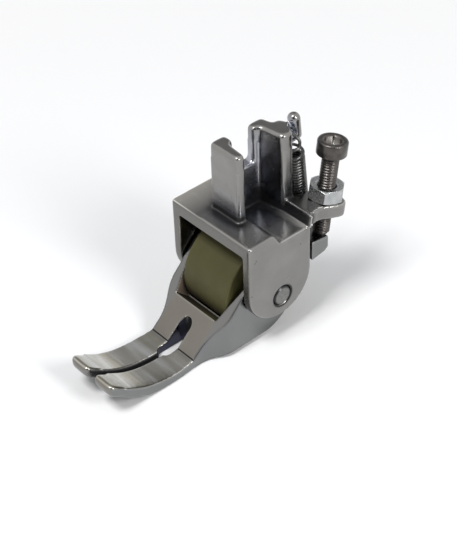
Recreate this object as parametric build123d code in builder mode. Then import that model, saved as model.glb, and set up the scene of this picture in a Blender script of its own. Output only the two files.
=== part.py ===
import os
from build123d import *

os.makedirs("parts", exist_ok=True)

# Pivot pin and running clearances, in mm. Z is 0 at the flat underside of the toes.
pin_z = 8.76
pin_r = 1.75
run_gap = 0.05
side_gap = 0.25

# Housing casting.
body_half_w = 9.5
body_front_y = -7.0
body_back_y = 6.4
body_top_z = 21.96
cheek_t = 1.85
cheek_soft = 0.5
front_soft = 0.3
cheek_arc_rise = 2.83
roof_t = 2.5
roof_deep_z = 18.2
recess_floor_z = 19.87
recess_front_y = -1.65
recess_ramp = 1.3
plate_step_y = -3.4
plate_step_h = 0.12
pin_hole_chamfer = 0.3

# Fork that takes the machine's presser bar.
fork_x0 = -3.35
fork_x1 = 3.27
rear_x0 = -2.95
rear_x1 = 3.7
fork_front_y = -3.6
fork_back_y = 7.1
rear_back_y = 8.1
fork_top_z = 34.45
channel_x = -1.1
channel_front_in = -1.4
channel_front_out = -1.82
channel_back_in = 4.95
channel_back_out = 5.65
slot_y0 = -0.4
slot_y1 = 3.84
slot_floor_z = 28.0
slot_soft = 0.8
top_soft = 0.3

# Rear lug that carries the adjusting screw.
lug_tilt = 8.6
lug_t = 2.45
lug_front_v = -0.85
lug_break_y = 6.9
lug_x0 = 3.75
screw_x = 6.76
screw_y = 12.15

# Adjusting screw and lock nut with a three millimetre thread.
thread_r = 1.5
screw_len = 14.85
screw_over_lug = 8.05
head_r = 2.55
head_h = 2.55
socket_af = 2.6
socket_depth = 1.6
socket_rim_r = 1.7
socket_dish = 0.3
nut_af = 5.5
nut_t = 2.4
nut_turn = 10.0
nut_gap = 0.02

# Horn that holds the top of the spring.
horn_x = 1.0
horn_y = 10.55
horn_root_y = 11.35
horn_root_z = 30.9
horn_root_r = 0.75
horn_ball_r = 1.1
horn_ball_z = 34.4
boss_back_y = 9.25
boss_foot_z = 30.6

# Swinging sole with two toes.
sole_gap = 0.3
sole_cheek_t = 1.75
toe_half_w = 5.58
toe_gap = 1.0
toe_tip_y = -32.9
toe_tip_soft = 0.8
needle_w = 2.4
needle_y0 = -18.7
needle_y1 = -12.0
crease_y = -16.0
crease_w = 0.2
riser_y0 = -13.0
riser_z0 = 4.46
riser_y1 = -10.0
riser_z1 = 7.6
window_y = -10.7
window_flare = 3.1
window_rim = 0.9
window_wide_v = 6.9
window_half_w = 4.93
web_back_y = -5.0
web_gap = 0.25
tail_front_y = 7.6
tail_back_y = 11.35
tail_side_x = 8.5
tail_under_z = 11.2
peg_x = 1.7
peg_z = 12.9
peg_r = 0.7
peg_len = 2.0
peg_end_r = 0.95

# Roller.
roller_r = 8.6
hub_r = 3.6

# Tension spring.
wire_r = 0.27
loop_r = 1.1
loop_y = 12.35
coil_r = 1.5
coil_turns = 21
ridge_depth = 0.2
open_turns = 1.75
open_len = 2.25
open_steps = 16
coil_z0 = 16.2
coil_z1 = 27.8

# Sizes that follow from the ones above.
cheek_in_x = body_half_w - cheek_t
sole_half_w = cheek_in_x - sole_gap
window_wide = sole_half_w - window_rim
cheek_r = (body_back_y - body_front_y) / 2
cheek_cy = (body_back_y + body_front_y) / 2
cheek_cz = pin_z + cheek_arc_rise
sole_in_x = sole_half_w - sole_cheek_t
roller_half = sole_in_x - side_gap

# Ends of the horn's finger.
horn_foot = Vector(horn_x, horn_root_y, horn_root_z)
horn_end = Vector(horn_x, horn_y, horn_ball_z)

# Plane of the lug's top face; the screw stands square to it.
lug_plane = Plane(origin=(0, lug_break_y, body_top_z)).rotated((-lug_tilt, 0, 0))
screw_v = (screw_y - lug_break_y) / lug_plane.y_dir.Y
screw_base = lug_plane.from_local_coords(Vector(screw_x, screw_v, 0))
screw_plane = Plane(origin=screw_base, x_dir=(1, 0, 0), z_dir=lug_plane.z_dir)
nut_plane = screw_plane.offset(nut_gap)
screw_tip_v = screw_over_lug - screw_len
head_top_v = screw_over_lug + head_h
screw_tip = screw_plane.from_local_coords(Vector(0, 0, screw_tip_v))
tail_slope = lug_plane.y_dir.Z / lug_plane.y_dir.Y


def ridges(radius, depth, pitch, start, count):
    """Points of a turned profile with one ridge for each turn."""
    points = [(radius - depth, start)]
    for turn in range(count):
        points.append((radius, start + (turn + 0.5) * pitch))
        points.append((radius - depth, start + (turn + 1) * pitch))
    return points


def tail_top(y):
    """Height of the tail's top face, which stands square to the screw's tip."""
    return screw_tip.Z + (y - screw_tip.Y) * tail_slope


# Plane of the riser's face, with its origin at the window's lower edge.
riser_t = (window_y - riser_y0) / (riser_y1 - riser_y0)
riser_plane = Plane(
    origin=(0, window_y, riser_z0 + riser_t * (riser_z1 - riser_z0)),
    x_dir=(1, 0, 0),
    z_dir=(0, riser_z0 - riser_z1, riser_y1 - riser_y0),
)

with BuildPart() as housing:
    # Solid block with the rounded lower end of the cheeks.
    with BuildSketch(Plane.YZ.offset(-body_half_w)):
        with Locations((cheek_cy, (body_top_z + cheek_cz) / 2)):
            Rectangle(2 * cheek_r, body_top_z - cheek_cz)
        with Locations((cheek_cy, cheek_cz)):
            Circle(cheek_r)
    extrude(amount=2 * body_half_w)
    fillet(housing.faces().filter_by(Axis.X).edges(), cheek_soft)
    # Room between the cheeks for the roller and the sole.
    with BuildSketch(Plane.YZ.offset(-cheek_in_x)):
        with BuildLine():
            Polyline(
                (body_front_y - 1, 0),
                (body_front_y - 1, body_top_z - roof_t),
                (-4.6, body_top_z - roof_t),
                (-3.2, roof_deep_z),
                (body_back_y + 1, roof_deep_z),
                (body_back_y + 1, 0),
                close=True,
            )
        make_face()
    extrude(amount=2 * cheek_in_x, mode=Mode.SUBTRACT)
    # Softened front edge of the top.
    front_top = housing.edges().filter_by(Axis.X).group_by(Axis.Y)[0].sort_by(Axis.Z)[-1]
    fillet(front_top, front_soft)
    # Side recess under the presser bar, with its ramp.
    with BuildSketch(Plane.YZ.offset(channel_x)):
        with BuildLine():
            Polyline(
                (recess_front_y, body_top_z + 1),
                (recess_front_y, body_top_z),
                (recess_front_y + recess_ramp, recess_floor_z),
                (body_back_y + 1, recess_floor_z),
                (body_back_y + 1, body_top_z + 1),
                close=True,
            )
        make_face()
    extrude(amount=body_half_w - channel_x + 1, mode=Mode.SUBTRACT)
    # Shallow step across the top, left of the fork.
    with BuildSketch(Plane.XY.offset(body_top_z - plate_step_h)):
        with Locations((-body_half_w - 1, body_front_y - 1)):
            Rectangle(
                body_half_w + fork_x0 + 2,
                plate_step_y - body_front_y + 1,
                align=(Align.MIN, Align.MIN),
            )
    extrude(amount=1, mode=Mode.SUBTRACT)
    # Fork: the wall that joins its arms, up to the slot's floor.
    with BuildSketch(Plane.XY.offset(roof_deep_z)) as fork_plan:
        with BuildLine():
            Polyline(
                (fork_x1, fork_front_y),
                (fork_x1, channel_front_out),
                (channel_x, channel_front_in),
                (channel_x, channel_back_in),
                (rear_x1, channel_back_out),
                (rear_x1, rear_back_y),
                (rear_x0, fork_back_y),
                (fork_x0, fork_front_y),
                close=True,
            )
        make_face()
        fillet(fork_plan.vertices().sort_by(Axis.X)[:2], 0.45)
        fillet(fork_plan.vertices().filter_by(lambda v: v.X > fork_x1 - 0.1), 0.55)
        fillet(fork_plan.vertices().filter_by(lambda v: abs(v.X - channel_x) < 0.01), 0.6)
    extrude(amount=slot_floor_z - roof_deep_z)
    # The two arms on each side of the slot for the clamp screw, with soft top edges.
    with BuildSketch(Plane.XY.offset(slot_floor_z)) as arms:
        with BuildLine():
            Polyline(
                (fork_x1, fork_front_y),
                (fork_x1, channel_front_out),
                (channel_x, channel_front_in),
                (channel_x, slot_y0),
                (fork_x0, slot_y0),
                (fork_x0, fork_front_y),
                close=True,
            )
        make_face()
        with BuildLine():
            Polyline(
                (channel_x, slot_y1),
                (channel_x, channel_back_in),
                (rear_x1, channel_back_out),
                (rear_x1, rear_back_y),
                (rear_x0, fork_back_y),
                (rear_x0, slot_y1),
                close=True,
            )
        make_face()
        fillet(arms.vertices().filter_by(lambda v: v.X > fork_x1 - 0.1), 0.55)
        fillet(arms.vertices().filter_by(lambda v: abs(v.X - channel_x) < 0.01), 0.4)
        fillet(arms.vertices().filter_by(lambda v: v.X < channel_x - 1), 0.45)
    extrude(amount=fork_top_z - slot_floor_z)
    fillet(housing.edges().group_by(Axis.Z)[-1], top_soft)
    # Round inner corners at the slot's floor.
    with BuildSketch(Plane.YZ.offset(fork_x0 + 0.5)):
        for wall_y, side in ((slot_y0, 1), (slot_y1, -1)):
            with Locations((wall_y + side * slot_soft / 2, slot_floor_z + slot_soft / 2)):
                Rectangle(slot_soft, slot_soft)
        for wall_y, side in ((slot_y0, 1), (slot_y1, -1)):
            with Locations((wall_y + side * slot_soft, slot_floor_z + slot_soft)):
                Circle(slot_soft, mode=Mode.SUBTRACT)
    extrude(amount=channel_x - fork_x0 - 0.9)
    # Sloping lug for the adjusting screw, with a rounded nose and end.
    with BuildSketch(lug_plane.offset(-lug_t)) as lug:
        with BuildLine():
            Polyline((8.9, lug_front_v), (2.6, lug_front_v), (2.6, 1.0), (lug_x0, 1.4), (lug_x0, 6.8))
            Spline(
                (lug_x0, 6.8),
                (4.5, 7.8),
                (6.3, 8.1),
                (8.3, 7.75),
                (9.5, 7.3),
                (10.1, 6.5),
                (10.05, 5.4),
                (9.4, 3.5),
                (8.98, 1.8),
                (9.1, 0.3),
                (9.3, -0.35),
                (8.9, lug_front_v),
                tangents=((0, 1), (-1, 0)),
            )
        make_face()
    extrude(amount=lug_t)
    # Web that joins the lug to the back of the block.
    with BuildSketch(Plane.YZ.offset(rear_x1 - 1)):
        with BuildLine():
            Polyline(
                (body_back_y - 0.8, roof_deep_z),
                (body_back_y - 0.8, recess_floor_z - 0.1),
                (body_back_y + 0.1, recess_floor_z + 0.3),
                (body_back_y + 1.3, recess_floor_z + 0.3),
                (body_back_y + 1.0, recess_floor_z - 0.6),
                (body_back_y, roof_deep_z),
                close=True,
            )
        make_face()
    extrude(amount=8.7 - rear_x1 + 1)
    with BuildSketch(screw_plane):
        Circle(thread_r + run_gap)
    extrude(amount=4, both=True, mode=Mode.SUBTRACT)
    # Boss at the top of the rear arm.
    with BuildSketch(Plane.XY.offset(boss_foot_z)) as boss:
        with BuildLine():
            Polyline(
                (-0.8, 6.9),
                (-0.7, boss_back_y - 0.5),
                (0.1, boss_back_y),
                (1.5, boss_back_y),
                (3.2, rear_back_y),
                (3.2, 6.9),
                close=True,
            )
        make_face()
        fillet(boss.vertices().group_by(Axis.Y)[-1], 0.5)
    extrude(amount=fork_top_z - boss_foot_z - 0.1)
    # Horn behind the rear arm: a root, a leaning finger and a round end.
    with BuildSketch(Plane.XZ.offset(-fork_back_y)):
        with Locations((horn_x, horn_root_z)):
            Circle(horn_root_r)
    extrude(amount=-(horn_root_y - fork_back_y))
    with Locations((horn_x, horn_root_y, horn_root_z)):
        Sphere(horn_root_r)
    with BuildSketch(Plane(origin=horn_foot, z_dir=horn_end - horn_foot)):
        Circle(horn_root_r)
    with BuildSketch(Plane(origin=horn_end, z_dir=horn_end - horn_foot)):
        Circle(horn_ball_r)
    loft()
    with Locations(horn_end):
        Sphere(horn_ball_r)
    # Pin holes through both cheeks.
    with BuildSketch(Plane.YZ.offset(-body_half_w - 1)):
        with Locations((0, pin_z)):
            Circle(pin_r)
    extrude(amount=2 * body_half_w + 2, mode=Mode.SUBTRACT)
    rims = housing.edges().filter_by(GeomType.CIRCLE)
    pin_rims = rims.filter_by(lambda e: abs(e.radius - pin_r) < 0.001 and abs(e.center().X) > body_half_w - 0.01)
    chamfer(pin_rims, pin_hole_chamfer)
housing.part.label = "housing"
export_step(housing.part, "parts/housing.step")

with BuildPart() as pivot_pin:
    with BuildSketch(Plane.YZ.offset(-body_half_w)):
        with Locations((0, pin_z)):
            Circle(pin_r)
    extrude(amount=2 * body_half_w)
    chamfer(pivot_pin.edges().filter_by(GeomType.CIRCLE), 0.2)
pivot_pin.part.label = "pivot_pin"
export_step(pivot_pin.part, "parts/pivot_pin.step")

with BuildPart() as sole:
    # Side view: toes, riser, cheeks and tail.
    with BuildSketch(Plane.YZ.offset(-sole_half_w)):
        with BuildLine():
            Line((-13.6, 0.0), (-21.5, 0.0))
            Spline(
                (-21.5, 0.0),
                (-24.0, 0.2),
                (-26.0, 0.72),
                (-28.0, 1.62),
                (-30.0, 2.75),
                (-31.6, 3.9),
                tangents=((-1, 0), (-0.75, 0.66)),
            )
            Spline((-31.6, 3.9), (-32.75, 5.2), (-32.55, 6.25), (-31.4, 5.85))
            Spline(
                (-31.4, 5.85),
                (-30.0, 4.93),
                (-28.0, 3.68),
                (-26.0, 2.7),
                (-24.0, 2.06),
                (-22.0, 1.69),
                (-20.0, 1.5),
                (-18.0, 1.5),
                (crease_y, 1.75),
            )
            Polyline((crease_y, 1.75), (riser_y0, riser_z0), (riser_y1, riser_z1), (-4.6, 13.35))
            Spline(
                (-4.6, 13.35),
                (-2.6, 14.6),
                (1.0, 14.9),
                (4.0, 14.3),
                (tail_front_y, tail_top(tail_front_y)),
            )
            Polyline(
                (tail_front_y, tail_top(tail_front_y)),
                (tail_back_y, tail_top(tail_back_y)),
                (tail_back_y, 12.2),
                (10.5, 11.6),
                (tail_front_y, tail_under_z),
            )
            Spline((tail_front_y, tail_under_z), (5.6, 7.2), (3.6, 3.8), (1.1, 1.6), (-1.5, 0.65))
            Polyline((-1.5, 0.65), (-9.6, 0.65), (-13.6, 0.0))
        make_face()
    extrude(amount=2 * sole_half_w)
    # Top view: narrow toes that widen to the cheeks.
    with BuildSketch(Plane.XY.offset(-1)) as plan:
        with BuildLine():
            right = Spline(
                (toe_half_w, -30.8),
                (toe_half_w, -24.0),
                (toe_half_w, -19.0),
                (toe_half_w - 0.25, -15.8),
                (toe_half_w - 0.1, -13.4),
                (sole_half_w - 1.15, -11.8),
                (sole_half_w - 0.4, -10.6),
                (sole_half_w, -9.2),
            )
            Line(right @ 1, (sole_half_w, 13))
            Line((sole_half_w, 13), (0, 13))
            Line((0, 13), (0, toe_tip_y))
            Line((0, toe_tip_y), (toe_half_w - 1.7, toe_tip_y))
            Spline(
                (toe_half_w - 1.7, toe_tip_y),
                (toe_half_w - 0.65, toe_tip_y + 0.4),
                (toe_half_w - 0.12, toe_tip_y + 1.2),
                right @ 0,
                tangents=((1, 0), (0, 1)),
            )
        make_face()
        mirror(about=Plane.YZ)
    extrude(amount=20, mode=Mode.INTERSECT)
    # Room between the cheeks for the roller.
    with BuildSketch(Plane.YZ.offset(-sole_in_x)):
        with Locations((0, pin_z)):
            Circle(roller_r + web_gap)
    extrude(amount=2 * sole_in_x, mode=Mode.SUBTRACT)
    with BuildSketch(Plane.YZ.offset(-sole_in_x)):
        with Locations((web_back_y, -1)):
            Rectangle(tail_front_y - web_back_y - 1.5, pin_z, align=(Align.MIN, Align.MIN))
    extrude(amount=2 * sole_in_x, mode=Mode.SUBTRACT)
    # Window in the riser, square to its face and wider towards the top.
    with BuildSketch(riser_plane.offset(1)):
        with BuildLine():
            Polyline(
                (-window_half_w, 0),
                (-sole_in_x, window_flare),
                (-window_wide, window_wide_v),
                (-window_wide, window_wide_v + 1.7),
                (-sole_in_x, window_wide_v + 2.2),
                (-sole_in_x, 14),
                (sole_in_x, 14),
                (sole_in_x, window_wide_v + 2.2),
                (window_wide, window_wide_v + 1.7),
                (window_wide, window_wide_v),
                (sole_in_x, window_flare),
                (window_half_w, 0),
                close=True,
            )
        make_face()
    extrude(amount=-4.5, mode=Mode.SUBTRACT)
    # Gap between the toes, wider at their tips, and the needle hole behind it.
    with BuildSketch(Plane.XY.offset(-1)):
        with BuildLine():
            Polyline(
                (-toe_gap / 2, toe_tip_y + 2.2),
                (-toe_gap / 2 - 0.2, toe_tip_y + toe_tip_soft),
                (-toe_gap / 2 - toe_tip_soft, toe_tip_y - 0.1),
                (toe_gap / 2 + toe_tip_soft, toe_tip_y - 0.1),
                (toe_gap / 2 + 0.2, toe_tip_y + toe_tip_soft),
                (toe_gap / 2, toe_tip_y + 2.2),
                close=True,
            )
        make_face()
        with Locations((0, needle_y0 + needle_w / 2)):
            Rectangle(toe_gap, 16, align=(Align.CENTER, Align.MAX))
        with Locations((0, (needle_y0 + needle_y1) / 2)):
            SlotOverall(needle_y1 - needle_y0, needle_w, rotation=90)
    extrude(amount=20, mode=Mode.SUBTRACT)
    # Fine groove where the toes meet the riser.
    with BuildSketch(Plane.YZ.offset(-sole_half_w)):
        with Locations((crease_y, 1.75)):
            Circle(crease_w / 2)
    extrude(amount=2 * sole_half_w, mode=Mode.SUBTRACT)
    # Wider pad under the screw and the peg for the spring.
    with BuildSketch(Plane.YZ.offset(sole_half_w - 1)):
        with BuildLine():
            Polyline(
                (tail_front_y, tail_top(tail_front_y)),
                (tail_back_y, tail_top(tail_back_y)),
                (tail_back_y, 12.2),
                (10.5, 11.6),
                (tail_front_y, tail_under_z),
                close=True,
            )
        make_face()
    extrude(amount=tail_side_x - sole_half_w + 1)
    with BuildSketch(Plane.XZ.offset(-tail_back_y + 1)):
        with Locations((peg_x, peg_z)):
            Circle(peg_r)
    extrude(amount=-(peg_len + 1))
    with Locations((peg_x, tail_back_y + peg_len, peg_z)):
        Sphere(peg_end_r)
    with BuildSketch(Plane.YZ.offset(-sole_half_w - 1)):
        with Locations((0, pin_z)):
            Circle(pin_r + run_gap)
    extrude(amount=2 * sole_half_w + 2, mode=Mode.SUBTRACT)
sole.part.label = "sole"
export_step(sole.part, "parts/sole.step")

with BuildPart() as roller_hub:
    with BuildSketch(Plane.YZ.offset(-roller_half)):
        with Locations((0, pin_z)):
            Circle(hub_r)
            Circle(pin_r + run_gap, mode=Mode.SUBTRACT)
    extrude(amount=2 * roller_half)
roller_hub.part.label = "roller_hub"
export_step(roller_hub.part, "parts/roller_hub.step")

with BuildPart() as roller_tyre:
    with BuildSketch(Plane.YZ.offset(-roller_half)):
        with Locations((0, pin_z)):
            Circle(roller_r)
            Circle(hub_r, mode=Mode.SUBTRACT)
    extrude(amount=2 * roller_half)
    outer = roller_tyre.edges().filter_by(GeomType.CIRCLE).filter_by(lambda e: e.radius > roller_r - 0.01)
    fillet(outer, 0.3)
roller_tyre.part.label = "roller_tyre"
export_step(roller_tyre.part, "parts/roller_tyre.step")

with BuildPart() as adjusting_screw:
    # Shank and head as one turned profile with a dished top.
    with BuildSketch(Plane(origin=screw_base, x_dir=(1, 0, 0), z_dir=-screw_plane.y_dir)):
        with BuildLine():
            Polyline(
                (0, screw_tip_v),
                (thread_r - 0.4, screw_tip_v),
                (thread_r, screw_tip_v + 0.4),
                (thread_r, screw_over_lug),
                (head_r - 0.1, screw_over_lug),
                (head_r, screw_over_lug + 0.1),
                (head_r, head_top_v - 0.45),
                (head_r - 0.14, head_top_v - 0.14),
                (head_r - 0.45, head_top_v),
                (socket_rim_r, head_top_v),
                (socket_rim_r - socket_dish, head_top_v - socket_dish),
                (0, head_top_v - socket_dish),
                close=True,
            )
        make_face()
    revolve(axis=Axis(screw_base, screw_plane.z_dir))
    with BuildSketch(screw_plane.offset(head_top_v)):
        RegularPolygon(socket_af / 2, 6, major_radius=False, rotation=12)
    extrude(amount=-socket_depth, mode=Mode.SUBTRACT)
adjusting_screw.part.label = "adjusting_screw"
export_step(adjusting_screw.part, "parts/adjusting_screw.step")

with BuildPart() as lock_nut:
    with BuildSketch(nut_plane):
        RegularPolygon(nut_af / 2, 6, major_radius=False, rotation=nut_turn)
    extrude(amount=nut_t)
    # Corners turned down to a shallow cone above and below.
    with BuildSketch(Plane(origin=nut_plane.origin, x_dir=(1, 0, 0), z_dir=-screw_plane.y_dir)):
        with BuildLine():
            Polyline(
                (0, 0),
                (nut_af / 2, 0),
                (nut_af / 2 + 0.5, 0.29),
                (nut_af / 2 + 0.5, nut_t - 0.29),
                (nut_af / 2, nut_t),
                (0, nut_t),
                close=True,
            )
        make_face()
    revolve(axis=Axis(screw_base, screw_plane.z_dir), mode=Mode.INTERSECT)
    with BuildSketch(nut_plane):
        Circle(thread_r + run_gap)
    extrude(amount=nut_t, mode=Mode.SUBTRACT)
    bore_rims = lock_nut.edges().filter_by(GeomType.CIRCLE).filter_by(lambda e: e.radius < thread_r + 0.1)
    chamfer(bore_rims, 0.3)
lock_nut.part.label = "lock_nut"
export_step(lock_nut.part, "parts/lock_nut.step")

# Lines of the spring: a close coil, two open turns and a loop at each end.
coil_foot = Vector(1.65, 11.05, coil_z0)
coil_head = Vector(1.5, 10.03, coil_z1)
coil_axis = (coil_head - coil_foot).normalized()
coil_side = Vector(1, 0, 0).cross(coil_axis).normalized()
coil_len = (coil_head - coil_foot).length
coil_pitch = coil_len / coil_turns
loop_z = peg_z + loop_r - wire_r - peg_r - 0.02
loop_d = loop_r * 0.7071


def on_coil(angle, height):
    turn = Vector(coil_r, 0, 0).rotate(Axis.Z, angle)
    return coil_foot + coil_axis * height + turn


open_path = []
for step in range(open_steps + 1):
    share = step / open_steps
    open_path.append(on_coil(90 + 360 * open_turns * share, coil_len - 0.3 + (open_len + 0.3) * share))
open_path += [
    (2.75, 10.5, 31.0),
    (2.3, 11.5, 31.9),
    (1.2, 12.3, 32.5),
    (0.0, 11.9, 32.75),
    (-0.35, 10.9, 32.7),
    (0.35, 9.9, 32.3),
    (1.3, 9.8, 32.1),
    (2.15, 10.25, 32.2),
]
low_path = [on_coil(170, 0.5), on_coil(130, 0.25), on_coil(95, 0.0)]
low_path += [
    (2.55, loop_y, 15.3),
    (2.9, loop_y, 14.1),
    (peg_x + loop_r, loop_y, loop_z),
    (peg_x + loop_d, loop_y, loop_z - loop_d),
    (peg_x, loop_y, loop_z - loop_r),
    (peg_x - loop_d, loop_y, loop_z - loop_d),
    (peg_x - loop_r, loop_y, loop_z),
    (peg_x - 0.35, loop_y, loop_z + loop_r - 0.05),
]

with BuildPart() as tension_spring:
    # Close turns as one turned sleeve with a ridge for each turn.
    with BuildSketch(Plane(origin=coil_foot, x_dir=(1, 0, 0), z_dir=coil_side)):
        with BuildLine():
            outside = ridges(coil_r + wire_r, ridge_depth, coil_pitch, 0, coil_turns)
            Polyline((coil_r - wire_r, 0), *outside, (coil_r - wire_r, coil_len), close=True)
        make_face()
    revolve(axis=Axis(coil_foot, coil_axis))
    # Open turns that end in a loop round the horn's neck.
    with BuildLine():
        upper = Spline(*open_path)
    with BuildSketch(Plane(origin=upper @ 0, z_dir=upper % 0)):
        RegularPolygon(wire_r, 6)
    sweep(path=upper)
    # Lower end with a loop round the tail's peg.
    with BuildLine():
        lower = Spline(*low_path)
    with BuildSketch(Plane(origin=lower @ 0, z_dir=lower % 0)):
        RegularPolygon(wire_r, 6)
    sweep(path=lower)
tension_spring.part.label = "tension_spring"
export_step(tension_spring.part, "parts/tension_spring.step")
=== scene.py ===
"""Sewing machine presser foot with a roller: materials, fine pieces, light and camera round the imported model."""
import math

import bpy
from mathutils import Matrix, Vector


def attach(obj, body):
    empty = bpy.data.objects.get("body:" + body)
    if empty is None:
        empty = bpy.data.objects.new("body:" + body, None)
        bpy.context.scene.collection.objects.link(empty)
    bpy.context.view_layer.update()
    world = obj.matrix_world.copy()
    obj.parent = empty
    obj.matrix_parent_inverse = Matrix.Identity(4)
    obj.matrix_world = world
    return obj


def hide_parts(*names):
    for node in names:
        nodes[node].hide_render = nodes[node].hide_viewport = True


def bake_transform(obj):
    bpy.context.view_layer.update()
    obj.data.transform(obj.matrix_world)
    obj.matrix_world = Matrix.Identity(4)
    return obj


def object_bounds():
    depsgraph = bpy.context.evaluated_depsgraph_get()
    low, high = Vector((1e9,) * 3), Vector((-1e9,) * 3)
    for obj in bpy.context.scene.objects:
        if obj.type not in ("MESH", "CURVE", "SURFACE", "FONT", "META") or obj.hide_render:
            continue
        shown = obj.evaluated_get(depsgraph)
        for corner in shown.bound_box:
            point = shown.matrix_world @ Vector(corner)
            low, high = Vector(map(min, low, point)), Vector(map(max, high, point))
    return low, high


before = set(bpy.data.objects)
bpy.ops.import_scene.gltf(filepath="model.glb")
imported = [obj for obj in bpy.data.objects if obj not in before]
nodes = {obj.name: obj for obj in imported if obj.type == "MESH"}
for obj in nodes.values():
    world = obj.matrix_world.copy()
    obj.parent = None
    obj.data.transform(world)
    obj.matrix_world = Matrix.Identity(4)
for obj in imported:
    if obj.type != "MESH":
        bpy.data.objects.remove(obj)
cad_low, cad_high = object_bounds()

MM = 0.001
PIN_Z = 8.76 * MM

# The ways that faces of the part look, in its own axes
UP = (0, 0, 1)
FORWARD = (0, -1, 0)
SIDEWAYS = (1, 0, 0)
RISER_WAY = (0, -0.722, 0.69)

# Limits that lie beyond every point of the part, in millimetres
OUTSIDE = 99
MIDDLE = -1


# Node helpers

def fill(tree, socket, value):
    """Gives a socket a number, a colour or a link."""
    if isinstance(value, (int, float)):
        socket.default_value = value
    elif isinstance(value, tuple):
        socket.default_value = (*value, 1)
    else:
        tree.links.new(value, socket)


def typed_socket(sockets, kind, name=None):
    """The first socket of that type, and of that name where one is given."""
    return next(socket for socket in sockets if socket.type == kind and name in (None, socket.name))


def set_sockets(node, **values):
    """Sets inputs of a node by name, with _ for each space."""
    for name, value in values.items():
        node.inputs[name.replace("_", " ")].default_value = value


def add(tree, kind, **values):
    """A new node of that kind with some of its inputs set."""
    node = tree.nodes.new(kind)
    set_sockets(node, **values)
    return node


def new_material(name):
    """A new material; returns it with its tree and its shader node."""
    material = bpy.data.materials.new(name)
    material.use_nodes = True
    tree = material.node_tree
    return material, tree, tree.nodes["Principled BSDF"]


def surface_position(tree, scale=(1, 1, 1)):
    """Object coordinates, stretched by scale."""
    coords = tree.nodes.new("ShaderNodeTexCoord")
    mapping = add(tree, "ShaderNodeMapping", Scale=scale)
    tree.links.new(coords.outputs["Object"], mapping.inputs["Vector"])
    return mapping.outputs["Vector"]


def object_axes(tree):
    """Object coordinates x, y and z in metres, as links."""
    coords = tree.nodes.new("ShaderNodeTexCoord")
    split = tree.nodes.new("ShaderNodeSeparateXYZ")
    tree.links.new(coords.outputs["Object"], split.inputs["Vector"])
    return split.outputs["X"], split.outputs["Y"], split.outputs["Z"]


def noise(tree, vector, scale, detail, roughness=0.55):
    """Noise from 0 to 1, at that many cells a metre."""
    node = add(tree, "ShaderNodeTexNoise", Scale=scale, Detail=detail, Roughness=roughness)
    tree.links.new(vector, node.inputs["Vector"])
    return node.outputs["Fac"]


def ramp(tree, value, stops):
    """A colour ramp through (position, colour) stops."""
    node = tree.nodes.new("ShaderNodeValToRGB")
    elements = node.color_ramp.elements
    while len(elements) < len(stops):
        elements.new(0.5)
    for element, (place, colour) in zip(elements, stops):
        element.position = place
        element.color = (*colour, 1)
    tree.links.new(value, node.inputs["Fac"])
    return node.outputs["Color"]


def spread(tree, value, low, high, start=0.0, end=1.0):
    """value from start to end mapped to low to high."""
    node = add(tree, "ShaderNodeMapRange", From_Min=start, From_Max=end, To_Min=low, To_Max=high)
    tree.links.new(value, node.inputs["Value"])
    return node.outputs["Result"]


def rising(tree, value, start, end, top=1.0):
    """0 up to start and top from end on, both in millimetres."""
    return spread(tree, value, 0.0, top, start * MM, end * MM)


def falling(tree, value, start, end, top=1.0, foot=0.0):
    """top up to start and foot from end on, both in millimetres."""
    return spread(tree, value, top, foot, start * MM, end * MM)


def math_node(tree, operation, first, second=None):
    """One maths step on links or numbers."""
    node = tree.nodes.new("ShaderNodeMath")
    node.operation = operation
    fill(tree, node.inputs[0], first)
    if second is not None:
        fill(tree, node.inputs[1], second)
    return node.outputs[0]


def product(tree, *factors):
    """All the factors multiplied."""
    result = factors[0]
    for factor in factors[1:]:
        result = math_node(tree, "MULTIPLY", result, factor)
    return result


def reach(tree, first, second):
    """Length of the two sides taken together, as across a right angle."""
    squares = math_node(tree, "ADD", product(tree, first, first), product(tree, second, second))
    return math_node(tree, "SQRT", squares)


def reach_from_pin(tree, y, z):
    """Distance from the pivot pin's axis in metres."""
    return reach(tree, y, math_node(tree, "SUBTRACT", z, PIN_Z))


def blend_colour(tree, factor, first, second, kind="MIX"):
    """Mixes or multiplies two colours; each is a link or a colour."""
    node = tree.nodes.new("ShaderNodeMix")
    node.data_type = "RGBA"
    node.blend_type = kind
    fill(tree, node.inputs[0], factor)
    fill(tree, typed_socket(node.inputs, "RGBA", "A"), first)
    fill(tree, typed_socket(node.inputs, "RGBA", "B"), second)
    return typed_socket(node.outputs, "RGBA")


def bump(tree, height, strength, distance, normal=None):
    """A bump of that height; returns its normal."""
    node = add(tree, "ShaderNodeBump", Strength=strength, Distance=distance)
    tree.links.new(height, node.inputs["Height"])
    if normal is not None:
        tree.links.new(normal, node.inputs["Normal"])
    return node.outputs["Normal"]


def rounded_edges(tree, radius):
    """Normals that round each sharp edge."""
    node = add(tree, "ShaderNodeBevel", Radius=radius)
    node.samples = 6
    return node.outputs["Normal"]


def facing(tree, way, low, high):
    """1 on faces of the piece that look that way, 0 on the others."""
    coords = tree.nodes.new("ShaderNodeTexCoord")
    dot = tree.nodes.new("ShaderNodeVectorMath")
    dot.operation = "DOT_PRODUCT"
    dot.inputs[1].default_value = way
    tree.links.new(coords.outputs["Normal"], dot.inputs[0])
    return spread(tree, dot.outputs["Value"], 0.0, 1.0, low, high)


def within(tree, value, low, high, edge):
    """1 where value lies from low to high in millimetres, fading over edge on either side."""
    return product(tree, rising(tree, value, low - edge, low), falling(tree, value, high, high + edge))


def occlusion(tree, distance, inside=False):
    """How open the surface is over that distance; inside looks into the metal instead."""
    node = add(tree, "ShaderNodeAmbientOcclusion", Distance=distance)
    node.samples = 8
    node.inside = inside
    node.only_local = True
    return node.outputs["AO"]


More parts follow.
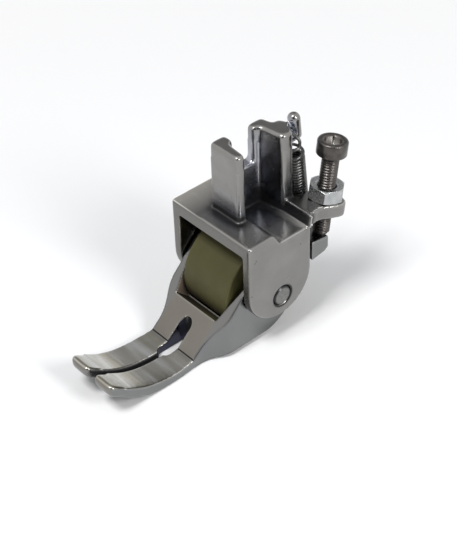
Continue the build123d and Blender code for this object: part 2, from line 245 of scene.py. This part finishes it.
def openness(tree, distance, low, high):
    """1 on open faces, 0 in crevices of that size."""
    return spread(tree, occlusion(tree, distance), 0.0, 1.0, low, high)


def sharp_edges(tree, distance):
    """1 along outer edges and corners, 0 on flat faces."""
    return spread(tree, occlusion(tree, distance, inside=True), 1.0, 0.0, 0.62, 0.95)


def pits(tree, vector, scale, share):
    """Sparse small dots: 1 on bare metal, 0 in a casting pit."""
    cells = add(tree, "ShaderNodeTexVoronoi", Scale=scale)
    tree.links.new(vector, cells.inputs["Vector"])
    return spread(tree, cells.outputs["Distance"], 0.0, 1.0, share, share * 1.6)


# Materials

def cast_steel(name, dark, light, painted_light_and_shade):
    """Polished dark cast steel: cloudy tone, painted shade in crevices and recesses, painted light in the fork's
    channel, painted highlights on edges, soft waves, scratches and a few pits.
    """
    recess_shade_tint = (0.78, 0.85, 1.02)
    channel_painted_light = (2.5, 2.65, 3.2)
    # Painted shade in crevices.
    painted_shade_colour = (0.026, 0.026, 0.028)
    # Painted highlight on outer edges.
    edge_highlight_colour = (0.5, 0.495, 0.48)

    material, tree, shader = new_material(name)
    place = surface_position(tree)
    colour = ramp(tree, noise(tree, place, 160.0, 5.0), [(0.3, dark), (0.7, light)])
    dots = pits(tree, place, 420.0, 0.04)
    colour = blend_colour(tree, 1.0, colour, spread(tree, dots, 0.25, 1.0), "MULTIPLY")

    # Painted shade makes recessed faces darker and bluer; in the channel of the fork painted light makes them
    # lighter.
    _, _, z = object_axes(tree)
    tint = blend_colour(tree, rising(tree, z, 22.2, 23.2), recess_shade_tint, channel_painted_light)
    deep = blend_colour(tree, 1.0, colour, tint, "MULTIPLY")
    colour = blend_colour(tree, openness(tree, 6 * MM, 0.35, 0.95), deep, colour)

    # Painted shade darkens the crevices below the fork.
    open_face = math_node(tree, "MAXIMUM", openness(tree, 2.4 * MM, 0.74, 0.99), rising(tree, z, 22.8, 24.5))
    colour = blend_colour(tree, open_face, painted_shade_colour, colour)
    # Painted highlight: outer edges are lightened.
    edge = sharp_edges(tree, 0.45 * MM)
    colour = blend_colour(tree, product(tree, edge, 0.7), colour, edge_highlight_colour)

    smear = noise(tree, surface_position(tree, (1, 0.25, 1)), 900.0, 6.0, 0.65)
    rough = spread(tree, smear, 0.18, 0.28, 0.3, 0.7)
    rough = math_node(tree, "MAXIMUM", rough, math_node(tree, "SUBTRACT", 0.8, open_face))
    colour, rough = painted_light_and_shade(tree, colour, rough, edge)
    tree.links.new(colour, shader.inputs["Base Color"])
    tree.links.new(rough, shader.inputs["Roughness"])

    waves = noise(tree, surface_position(tree, (0.3, 1, 1)), 260.0, 2.0)
    normal = bump(tree, waves, 0.05, 0.4 * MM)
    normal = bump(tree, dots, 0.35, 0.08 * MM, normal)
    tree.links.new(normal, shader.inputs["Normal"])
    set_sockets(shader, Metallic=1.0)
    return material


def housing_painted_light_and_shade(tree, colour, rough, _edge):
    """Painted shade round the pivot pin's ends and on the front faces, and painted light on the top at its left and
    right.
    """
    painted_shade_colour = (0.03, 0.03, 0.03)
    front_shade_colour = (0.15, 0.147, 0.138)
    top_left_light = (0.7, 0.67, 0.62)
    top_right_light = (0.42, 0.415, 0.40)

    x, y, z = object_axes(tree)
    # Painted shade: a dark ring round each end of the pivot pin.
    ring = falling(tree, reach_from_pin(tree, y, z), 2.05, 2.3)
    cheeks = rising(tree, math_node(tree, "ABSOLUTE", x), 9.0, 9.2)
    colour = blend_colour(tree, product(tree, ring, cheeks), colour, painted_shade_colour)
    # Painted shade: faces that look forward are darker.
    front = product(tree, facing(tree, FORWARD, 0.8, 0.95), falling(tree, y, -6.5, -5.5, 0.95))
    colour = blend_colour(tree, front, colour, front_shade_colour)

    # Painted light: the top is lighter at its left and at its right.
    top = facing(tree, UP, 0.5, 0.8)
    colour = blend_colour(tree, product(tree, top, falling(tree, x, -9.0, -3.5)), colour, top_left_light)
    right = product(tree, top, rising(tree, x, 2.5, 8.5, 0.8), falling(tree, z, 21.0, 21.3))
    return blend_colour(tree, right, colour, top_right_light), rough


def sole_painted_light_and_shade(tree, colour, rough, edge):
    """Painted reflection tones on the riser and cheeks, reflection bands across the toes, a dark reflected line
    along the side edges and the roller's reflected light on the web and walls below it; painted shade in the toes'
    crease and the needle hole.
    """
    riser_reflection_tone = (0.205, 0.185, 0.155)
    cheek_reflection_tone = (0.195, 0.205, 0.215)
    reflection_band_stops = [(0.35, (0.40, 0.385, 0.33)), (0.5, (0.52, 0.51, 0.47)), (0.62, (0.72, 0.72, 0.71))]
    crease_shade_colour = (0.015, 0.014, 0.013)
    edge_reflection_line_colour = (0.02, 0.02, 0.02)
    hole_shade_colour = (0.05, 0.052, 0.075)
    roller_reflection_ramp = [(0.1, (0.032, 0.028, 0.022)), (0.5, (0.05, 0.044, 0.028)), (0.85, (0.09, 0.084, 0.045))]
    wall_reflection_colour = (0.30, 0.25, 0.20)

    x, y, z = object_axes(tree)
    wide = math_node(tree, "ABSOLUTE", x)
    # Painted reflections: the riser's faces are browner and the cheeks bluer.
    riser = facing(tree, RISER_WAY, 0.8, 0.95)
    colour = blend_colour(tree, product(tree, riser, 0.6), colour, riser_reflection_tone)
    cheeks = within(tree, wide, 5.0, OUTSIDE, 0.2)
    colour = blend_colour(tree, product(tree, cheeks, 0.5), colour, cheek_reflection_tone)

    # Toes: painted reflection bands across the tops, and the painted shade of a crease where the riser starts.
    toes = product(tree, facing(tree, UP, 0.6, 0.85), falling(tree, y, -17.0, -15.8))
    bands = ramp(tree, noise(tree, surface_position(tree, (0.12, 1, 1)), 330.0, 2.0), reflection_band_stops)
    colour = blend_colour(tree, product(tree, toes, 0.9), colour, bands)
    # Painted shade along the real crease groove.
    crease = product(tree, within(tree, y, -16.07, -15.93, 0.07), facing(tree, UP, 0.3, 0.5))
    colour = blend_colour(tree, crease, colour, crease_shade_colour)
    # Painted reflection: a dark line along the sole's upper side edges.
    edge_reflection_line = product(tree, edge, within(tree, wide, 4.9, OUTSIDE, 0.2), within(tree, y, -15.6, -7.0, 0.4))
    colour = blend_colour(tree, edge_reflection_line, colour, edge_reflection_line_colour)

    # Needle hole: painted shade on its walls, and not on the riser's own face.
    hole = product(tree, within(tree, wide, MIDDLE, 1.25, 0.1), within(tree, y, -18.9, -11.9, 0.1))
    hole = product(tree, hole, spread(tree, facing(tree, RISER_WAY, 0.4, 0.6), 1.0, 0.0))
    colour = blend_colour(tree, hole, colour, hole_shade_colour)

    # Web and side walls round the roller: painted reflection of the roller's colour and light on them.
    near = product(tree, falling(tree, reach_from_pin(tree, y, z), 10.9, 11.1), falling(tree, y, -4.5, -3.5))
    web = product(tree, near, within(tree, wide, MIDDLE, 6.7, 0.1), facing(tree, RISER_WAY, 0.8, 0.55))
    colour = blend_colour(tree, web, colour, ramp(tree, rising(tree, x, -5.0, 5.0), roller_reflection_ramp))
    wall = product(tree, near, within(tree, wide, MIDDLE, 5.7, 0.1), facing(tree, SIDEWAYS, 0.5, 0.8))
    colour = blend_colour(tree, wall, colour, wall_reflection_colour)
    return colour, math_node(tree, "MAXIMUM", rough, product(tree, web, 0.8))


def plain_metal(name, dark, light, rough_low, rough_high, edge=0.15):
    """Small metal part: slight mottle, fine grain and edges softened over edge millimetres."""
    material, tree, shader = new_material(name)
    place = surface_position(tree)
    mottle = noise(tree, place, 900.0, 5.0)
    tree.links.new(ramp(tree, mottle, [(0.3, dark), (0.7, light)]), shader.inputs["Base Color"])
    grain = noise(tree, place, 4500.0, 3.0)
    tree.links.new(spread(tree, grain, rough_low, rough_high, 0.3, 0.7), shader.inputs["Roughness"])
    normal = bump(tree, grain, 0.08, 0.03 * MM, rounded_edges(tree, edge * MM))
    tree.links.new(normal, shader.inputs["Normal"])
    set_sockets(shader, Metallic=1.0)
    return material


def pin_metal():
    """Ground steel; the ends of the pivot pin get a dark rim of painted shade."""
    rim_shade_colour = (0.05, 0.05, 0.05)

    material, tree, shader = new_material("pin_steel")
    _, y, z = object_axes(tree)
    grain = noise(tree, surface_position(tree), 3000.0, 4.0)
    colour = ramp(tree, grain, [(0.3, (0.15, 0.15, 0.145)), (0.7, (0.24, 0.235, 0.23))])
    # Painted shade: dark beyond 1.5 mm from the pin's axis.
    colour = blend_colour(tree, rising(tree, reach_from_pin(tree, y, z), 1.4, 1.6), colour, rim_shade_colour)
    tree.links.new(colour, shader.inputs["Base Color"])
    tree.links.new(spread(tree, grain, 0.3, 0.45, 0.3, 0.7), shader.inputs["Roughness"])
    tree.links.new(bump(tree, grain, 0.1, 0.04 * MM), shader.inputs["Normal"])
    set_sockets(shader, Metallic=1.0)
    return material


def polyurethane():
    """Olive cast polyurethane, cloudy, with painted light that makes it paler low down and painted shade that makes
    it browner at its lower left, with a satin skin.
    """
    low_painted_light = (0.15, 0.14, 0.072)
    brown = (0.11, 0.094, 0.062)

    material, tree, shader = new_material("polyurethane")
    place = surface_position(tree)
    x, _, z = object_axes(tree)
    cloud = noise(tree, place, 120.0, 3.0)
    colour = ramp(tree, cloud, [(0.25, (0.062, 0.057, 0.020)), (0.75, (0.098, 0.092, 0.036))])
    # Painted light makes the low part paler, and painted shade makes its lower left browner.
    low = falling(tree, z, 4.0, 9.5)
    left = falling(tree, x, -5.0, 1.0, foot=0.25)
    colour = blend_colour(tree, product(tree, low, 0.6), colour, low_painted_light)
    colour = blend_colour(tree, product(tree, low, left), colour, brown)
    tree.links.new(colour, shader.inputs["Base Color"])
    skin = noise(tree, place, 2200.0, 4.0)
    tree.links.new(spread(tree, skin, 0.45, 0.58, 0.3, 0.7), shader.inputs["Roughness"])
    tree.links.new(bump(tree, skin, 0.1, 0.04 * MM), shader.inputs["Normal"])
    set_sockets(
        shader,
        Subsurface_Weight=0.15,
        Subsurface_Radius=(1.0, 0.9, 0.35),
        Subsurface_Scale=0.8 * MM,
        Specular_IOR_Level=0.2,
        IOR=1.5,
    )
    return material


HOUSING = cast_steel("housing_steel", (0.205, 0.201, 0.194), (0.26, 0.254, 0.243), housing_painted_light_and_shade)
SOLE = cast_steel("sole_steel", (0.185, 0.18, 0.168), (0.235, 0.23, 0.218), sole_painted_light_and_shade)
PIN = pin_metal()
SCREW = plain_metal("screw_steel", (0.07, 0.064, 0.06), (0.12, 0.112, 0.105), 0.26, 0.38)
ZINC = plain_metal("zinc_plate", (0.36, 0.37, 0.375), (0.5, 0.51, 0.515), 0.2, 0.34)
WIRE = plain_metal("spring_wire", (0.09, 0.09, 0.088), (0.17, 0.17, 0.165), 0.24, 0.34, edge=0.05)
RUBBER = polyurethane()

NODE_MATERIAL = {
    "housing": HOUSING,
    "sole": SOLE,
    "pivot_pin": PIN,
    "roller_hub": PIN,
    "roller_tyre": RUBBER,
    "adjusting_screw": SCREW,
    "lock_nut": ZINC,
    "tension_spring": WIRE,
}
for node_name, node_material in NODE_MATERIAL.items():
    node_mesh = nodes[node_name].data
    node_mesh.materials.clear()
    node_mesh.materials.append(node_material)


# Softened castings

SOFT_WEIGHT = 0.5
ZONE_FADE_Y = 0.4
KEPT_FACES = 0.4


def soft_group(name, rounds, zone_rounds, axis, start, end, far_y, swell):
    """Node group that blurs a mesh's points a little everywhere, and blurs and swells one zone of it.

    The zone sets in from start to end along axis and stops at far_y. Lengths are in millimetres.
    """
    tree = bpy.data.node_groups.new(name, "GeometryNodeTree")
    for way in ("INPUT", "OUTPUT"):
        tree.interface.new_socket("Geometry", in_out=way, socket_type="NodeSocketGeometry")
    mesh_in = tree.nodes.new("NodeGroupInput")
    mesh_out = tree.nodes.new("NodeGroupOutput")
    place = tree.nodes.new("GeometryNodeInputPosition")
    split = tree.nodes.new("ShaderNodeSeparateXYZ")
    tree.links.new(place.outputs["Position"], split.inputs["Vector"])
    zone = rising(tree, split.outputs[axis], start, end)
    zone = product(tree, zone, falling(tree, split.outputs["Y"], far_y, far_y + ZONE_FADE_Y))

    mesh = mesh_in.outputs["Geometry"]
    for count, weight in ((rounds, SOFT_WEIGHT), (zone_rounds, zone)):
        blur = tree.nodes.new("GeometryNodeBlurAttribute")
        blur.data_type = "FLOAT_VECTOR"
        set_sockets(blur, Iterations=count)
        fill(tree, blur.inputs["Weight"], weight)
        tree.links.new(place.outputs["Position"], typed_socket(blur.inputs, "VECTOR"))
        move = tree.nodes.new("GeometryNodeSetPosition")
        tree.links.new(mesh, move.inputs["Geometry"])
        tree.links.new(typed_socket(blur.outputs, "VECTOR"), move.inputs["Position"])
        mesh = move.outputs["Geometry"]

    normal = tree.nodes.new("GeometryNodeInputNormal")
    push = tree.nodes.new("ShaderNodeVectorMath")
    push.operation = "SCALE"
    tree.links.new(normal.outputs["Normal"], push.inputs["Vector"])
    tree.links.new(product(tree, zone, swell * MM), push.inputs["Scale"])
    move = tree.nodes.new("GeometryNodeSetPosition")
    tree.links.new(mesh, move.inputs["Geometry"])
    tree.links.new(push.outputs["Vector"], move.inputs["Offset"])
    smooth = tree.nodes.new("GeometryNodeSetShadeSmooth")
    tree.links.new(move.outputs["Geometry"], smooth.inputs["Geometry"])
    tree.links.new(smooth.outputs["Geometry"], mesh_out.inputs["Geometry"])
    return tree


def soften(name, voxel, **zone):
    """Rounds a casting's edges and inner corners a little, as tumbling does."""
    piece = nodes[name]
    for face in piece.data.polygons:
        face.use_smooth = True
    remesh = piece.modifiers.new("even", "REMESH")
    remesh.mode = "VOXEL"
    remesh.voxel_size = voxel * MM
    remesh.use_smooth_shade = True
    soft = piece.modifiers.new("soft", "NODES")
    soft.node_group = soft_group(name + "_soft", **zone)
    fewer = piece.modifiers.new("fewer", "DECIMATE")
    fewer.ratio = KEPT_FACES


# The housing's zone is the top of its fork, and the sole's zone is the tips of its toes.
soften("housing", 0.14, rounds=10, zone_rounds=34, axis="Z", start=31.6, end=33.0, far_y=9.1, swell=0.06)
soften("sole", 0.12, rounds=4, zone_rounds=80, axis="Y", start=-29.8, end=-31.2, far_y=20, swell=0.08)


# Fine pieces, in millimetres

def new_piece(name, points, faces, material):
    """A smooth mesh of points in millimetres."""
    mesh = bpy.data.meshes.new(name)
    mesh.from_pydata([tuple(Vector(p) * MM) for p in points], [], faces)
    mesh.update()
    for face in mesh.polygons:
        face.use_smooth = True
    mesh.materials.append(material)
    piece = bpy.data.objects.new(name, mesh)
    bpy.context.scene.collection.objects.link(piece)
    return piece


def wrapped(rings, sides):
    """Faces of a closed skin over rings of sides points each, with a flat face at either end."""
    faces = []
    for i in range(rings - 1):
        for k in range(sides):
            a = i * sides + k
            b = i * sides + (k + 1) % sides
            faces.append((a, b, b + sides, a + sides))
    faces.append(tuple(reversed(range(sides))))
    faces.append(tuple(range((rings - 1) * sides, rings * sides)))
    return faces


def smooth_path(controls, steps):
    """Points along a curve that passes through every control point."""
    controls = [Vector(c) for c in controls]
    ends = [controls[0] * 2 - controls[1]] + controls + [controls[-1] * 2 - controls[-2]]
    path = []
    for a, b, c, d in zip(ends, ends[1:], ends[2:], ends[3:]):
        for step in range(steps):
            t = step / steps
            path.append(
                0.5 * (2 * b + (c - a) * t + (2 * a - 5 * b + 4 * c - d) * t * t + (3 * b - a - 3 * c + d) * t ** 3)
            )
    return path + [controls[-1]]


def tube(path, radius, sides):
    """Points and faces of a round wire along path, with closed ends."""
    points = []
    across = Vector((0, 0, 1)).cross(path[1] - path[0]).normalized()
    for i, here in enumerate(path):
        ahead = path[min(i + 1, len(path) - 1)] - path[max(i - 1, 0)]
        ahead.normalize()
        across = (across - ahead * across.dot(ahead)).normalized()
        over = ahead.cross(across)
        for k in range(sides):
            turn = math.tau * k / sides
            points.append(here + (across * math.cos(turn) + over * math.sin(turn)) * radius)
    return points, wrapped(len(path), sides)


# Spring: its coil stands between the peg on the sole's tail and the horn on the housing.
COIL_FOOT = Vector((1.65, 11.05, 16.2))
COIL_HEAD = Vector((1.5, 10.03, 27.8))
COIL_LENGTH = (COIL_HEAD - COIL_FOOT).length
COIL_AXIS = (COIL_HEAD - COIL_FOOT).normalized()
COIL_R = 1.6
WIRE_R = 0.27
WIRE_SIDES = 10
TURN_STEPS = 26
BEND_STEPS = 8

# Heights along the coil's axis, and angles round it in degrees
CLOSE_FOOT = 0.25
CLOSE_TOP = COIL_LENGTH - 0.3
CLOSE_START = 130
CLOSE_TURNS = 20 - 40 / 360
OPEN_START = 90
OPEN_TURNS = 1.75
OPEN_TOP = CLOSE_TOP + 2.55


def on_coil(angle, height):
    """A point of the spring's helix."""
    turn = math.radians(angle)
    return COIL_FOOT + COIL_AXIS * height + Vector((math.cos(turn), math.sin(turn), 0)) * COIL_R


def winding(start, turns, foot, top, climb):
    """Turns of the helix; climb gives the share of the height at a share of the turns."""
    count = int(turns * TURN_STEPS)
    shares = [step / count for step in range(count)]
    return [on_coil(start + 360 * turns * share, foot + (top - foot) * climb(share)) for share in shares]


def build_spring():
    """One round wire: a loop on the tail's peg, close turns, open turns and a hook round the horn."""
    low_loop = [
        (1.35, 12.35, 13.99), (0.6, 12.35, 12.95), (0.92, 12.35, 12.15), (1.7, 12.35, 11.85),
        (2.48, 12.35, 12.15), (2.8, 12.35, 12.95), (2.9, 12.35, 14.1), (2.55, 12.35, 15.3),
        on_coil(95, 0), on_coil(CLOSE_START, CLOSE_FOOT),
    ]
    hook = [
        on_coil(OPEN_START + 360 * OPEN_TURNS, OPEN_TOP), (2.75, 10.15, 31.1), (2.1, 9.85, 31.75),
        (1.15, 9.8, 32.2), (0.2, 10.05, 32.5), (-0.25, 10.9, 32.6), (0.1, 11.8, 32.5), (0.8, 12.2, 32.4),
    ]
    path = smooth_path(low_loop, BEND_STEPS)[:-1]
    path += winding(CLOSE_START, CLOSE_TURNS, CLOSE_FOOT, CLOSE_TOP, lambda share: share)
    path += winding(OPEN_START, OPEN_TURNS, CLOSE_TOP, OPEN_TOP, lambda share: share * share * (1.6 - 0.6 * share))
    path += smooth_path(hook, BEND_STEPS)
    points, faces = tube(path, WIRE_R, WIRE_SIDES)
    spring = new_piece("spring_wire_piece", points, faces, WIRE)
    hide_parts("tension_spring")
    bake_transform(spring)


# Screw: its axis stands square on the lug, whose top slopes back from the edge of the housing's roof.
LUG_TILT = math.radians(8.6)
LUG_BREAK_Y = 6.9
ROOF_Z = 21.96
SCREW_X = 6.76
SCREW_Y = 12.15
SCREW_AXIS = Vector((0, math.sin(LUG_TILT), math.cos(LUG_TILT)))
SCREW_OUT = Vector((0, math.cos(LUG_TILT), -math.sin(LUG_TILT)))
SCREW_SIDE = Vector((1, 0, 0))
SCREW_BASE = Vector((SCREW_X, SCREW_Y, ROOF_Z - (SCREW_Y - LUG_BREAK_Y) * math.tan(LUG_TILT)))
SCREW_SIDES = 48

# Heights over the lug, and radii
HEAD_V = 8.05
TIP_V = HEAD_V - 14.85
TOP_V = HEAD_V + 2.55
TIP_R = 0.9
ROOT_R = 1.26
CREST_R = 1.47
HEAD_R = 2.55
THREAD_FOOT = TIP_V + 0.05
THREAD_TOP = HEAD_V - 0.35
TAPER = 0.5
PITCH = 0.5
PITCH_ROWS = 8

# Hexagon socket: half its width over flats, the depths of its mouth and floor, and how far it is turned
SOCKET_R = 1.3
SOCKET_DEPTHS = (0.28, 1.6)
SOCKET_TURN = math.radians(12)
SOCKET_SIDE = math.tau / 6


def screw_point(radius, turn, v):
    """A point round the screw's axis, at height v over the lug."""
    return SCREW_BASE + SCREW_AXIS * v + (SCREW_SIDE * math.cos(turn) + SCREW_OUT * math.sin(turn)) * radius


def thread_radius(v, share):
    """The thread's radius at height v and at a share of a turn; it tapers at the tip."""
    lift = max(0, 1 - abs((v / PITCH - share) % 1 - 0.5) / 0.42)
    full = ROOT_R + (CREST_R - ROOT_R) * min(1, lift * 1.25)
    return full * (0.75 + 0.25 * min(1, (v - TIP_V) / TAPER))


def socket_radius(turn):
    """The hexagon socket's radius at that turn."""
    return SOCKET_R / math.cos((turn - SOCKET_TURN) % SOCKET_SIDE - SOCKET_SIDE / 2)


def build_screw():
    """Socket screw with a true helical thread, built ring by ring from its tip to the socket's floor."""
    turns = [math.tau * k / SCREW_SIDES for k in range(SCREW_SIDES)]
    points = [screw_point(TIP_R, turn, TIP_V) for turn in turns]
    v = THREAD_FOOT
    while v < THREAD_TOP:
        points += [screw_point(thread_radius(v, k / SCREW_SIDES), turn, v) for k, turn in enumerate(turns)]
        v += PITCH / PITCH_ROWS
    profile = [
        (ROOT_R, HEAD_V - 0.3), (ROOT_R, HEAD_V), (2.3, HEAD_V), (2.47, HEAD_V + 0.03),
        (HEAD_R, HEAD_V + 0.14), (HEAD_R, HEAD_V + 1.2), (HEAD_R, TOP_V - 0.42), (2.52, TOP_V - 0.25),
        (2.44, TOP_V - 0.12), (2.3, TOP_V - 0.03), (2.1, TOP_V), (1.72, TOP_V), (1.66, TOP_V - 0.02),
        (1.5, TOP_V - 0.2),
    ]
    for radius, v in profile:
        points += [screw_point(radius, turn, v) for turn in turns]
    for depth in SOCKET_DEPTHS:
        points += [screw_point(socket_radius(turn), turn, TOP_V - depth) for turn in turns]
    faces = wrapped(len(points) // SCREW_SIDES, SCREW_SIDES)
    screw = new_piece("threaded_screw", points, faces, SCREW)
    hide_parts("adjusting_screw")
    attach(screw, "screw")


build_spring()
build_screw()


# Floor, light and background

def white_for_camera(tree):
    """1 for what the camera, metal or glass sees, 0 for everything else."""
    path = tree.nodes.new("ShaderNodeLightPath")
    mirrored = math_node(tree, "MAXIMUM", path.outputs["Is Glossy Ray"], path.outputs["Is Transmission Ray"])
    return math_node(tree, "MAXIMUM", path.outputs["Is Camera Ray"], mirrored)


def mix_shaders(tree, factor, first, second, surface):
    """Shows the first shader at factor 0 and the second at 1."""
    mix = tree.nodes.new("ShaderNodeMixShader")
    tree.links.new(factor, mix.inputs["Fac"])
    tree.links.new(first.outputs[0], mix.inputs[1])
    tree.links.new(second.outputs[0], mix.inputs[2])
    tree.links.new(mix.outputs[0], surface)


def build_world():
    """White background; a plain grey dome lights the rest."""
    world = bpy.data.worlds.new("studio")
    bpy.context.scene.world = world
    world.use_nodes = True
    tree = world.node_tree
    tree.nodes.clear()
    out = tree.nodes.new("ShaderNodeOutputWorld")
    dome = add(tree, "ShaderNodeBackground", Color=(0.8, 0.82, 0.85, 1), Strength=0.5)
    white = add(tree, "ShaderNodeBackground", Color=(1, 1, 1, 1), Strength=1.0)
    mix_shaders(tree, white_for_camera(tree), dome, white, out.inputs["Surface"])


def build_floor():
    """A wide pale floor just under the toes that turns plain white away from the part."""
    size = 1.2
    fade_start, fade_end = 60, 200
    bpy.ops.mesh.primitive_plane_add(size=size, location=(0, 0, cad_low.z))
    floor = bpy.context.object
    floor.name = "floor"
    material, tree, shader = new_material("pale_floor")
    set_sockets(shader, Base_Color=(0.95, 0.95, 0.95, 1), Roughness=0.9)
    white = add(tree, "ShaderNodeEmission", Color=(1, 1, 1, 1), Strength=1.0)
    x, y, _ = object_axes(tree)
    fade = rising(tree, reach(tree, x, y), fade_start, fade_end)
    mix_shaders(tree, fade, shader, white, tree.nodes["Material Output"].inputs["Surface"])
    floor.data.materials.append(material)


def turned_to(place, aim, axis):
    """Turn that points the given axis of an object from place to aim, with Y up."""
    return (Vector(aim) - Vector(place)).to_track_quat(axis, "Y")


def area_light(name, place, aim, size, power):
    """A soft rectangular lamp at place, facing aim."""
    data = bpy.data.lights.new(name, "AREA")
    data.shape = "RECTANGLE"
    data.size, data.size_y = size
    data.energy = power
    lamp = bpy.data.objects.new(name, data)
    bpy.context.scene.collection.objects.link(lamp)
    lamp.location = place
    lamp.rotation_mode = "QUATERNION"
    lamp.rotation_quaternion = turned_to(place, aim, "-Z")


def build_card(name, place, aim, size, shade):
    """A matt card that the camera doesn't see and the metal reflects."""
    bpy.ops.mesh.primitive_plane_add(size=1, location=place)
    card = bpy.context.object
    card.name = name
    card.scale = (*size, 1)
    card.rotation_mode = "QUATERNION"
    card.rotation_quaternion = turned_to(place, aim, "Z")
    material, _, shader = new_material(name)
    set_sockets(shader, Base_Color=(shade, shade, shade, 1), Roughness=0.9, Specular_IOR_Level=0.1)
    card.data.materials.append(material)
    card.visible_camera = False
    card.visible_shadow = False


build_world()
build_floor()
build_card("back_card", (-0.33, 0.28, 0.34), (0, 0, 0.02), (0.6, 0.46), 0.4)
build_card("front_card", (0.263, -0.223, 0.289), (0, 0, 0.01), (0.44, 0.44), 0.02)
area_light("key", (0.02, -0.25, 0.55), (0, 0, 0.015), (0.18, 0.18), 2.1)
area_light("side", (0.4, 0.05, 0.3), (0, 0, 0.015), (0.12, 0.2), 1.1)


# Camera, fitted to marked corners of the photograph: angles in degrees, lengths in millimetres

CAMERA_ANGLES = (49.71, 39.92, -2.15)
CAMERA_AIM = Vector((0.664, -3.923, 10.503))
CAMERA_DISTANCE = 241.1
CAMERA_LENS = 96.77
SENSOR_WIDTH = 36


def build_camera():
    """Camera at the photograph's azimuth, elevation and roll."""
    azimuth, elevation, roll = (math.radians(angle) for angle in CAMERA_ANGLES)
    right = Vector((math.cos(azimuth), math.sin(azimuth), 0))
    back = Vector((
        math.sin(azimuth) * math.cos(elevation),
        -math.cos(azimuth) * math.cos(elevation),
        math.sin(elevation),
    ))
    up = back.cross(right)
    turned_right = right * math.cos(roll) + up * math.sin(roll)
    turned_up = up * math.cos(roll) - right * math.sin(roll)
    data = bpy.data.cameras.new("camera")
    data.lens = CAMERA_LENS
    data.sensor_width = SENSOR_WIDTH
    data.clip_start = 0.01
    camera = bpy.data.objects.new("camera", data)
    bpy.context.scene.collection.objects.link(camera)
    place = CAMERA_AIM * MM + back * CAMERA_DISTANCE * MM
    turn = Matrix((turned_right, turned_up, back)).transposed().to_4x4()
    camera.matrix_world = Matrix.Translation(place) @ turn
    bpy.context.scene.camera = camera


build_camera()
bpy.context.scene.view_settings.view_transform = "Standard"
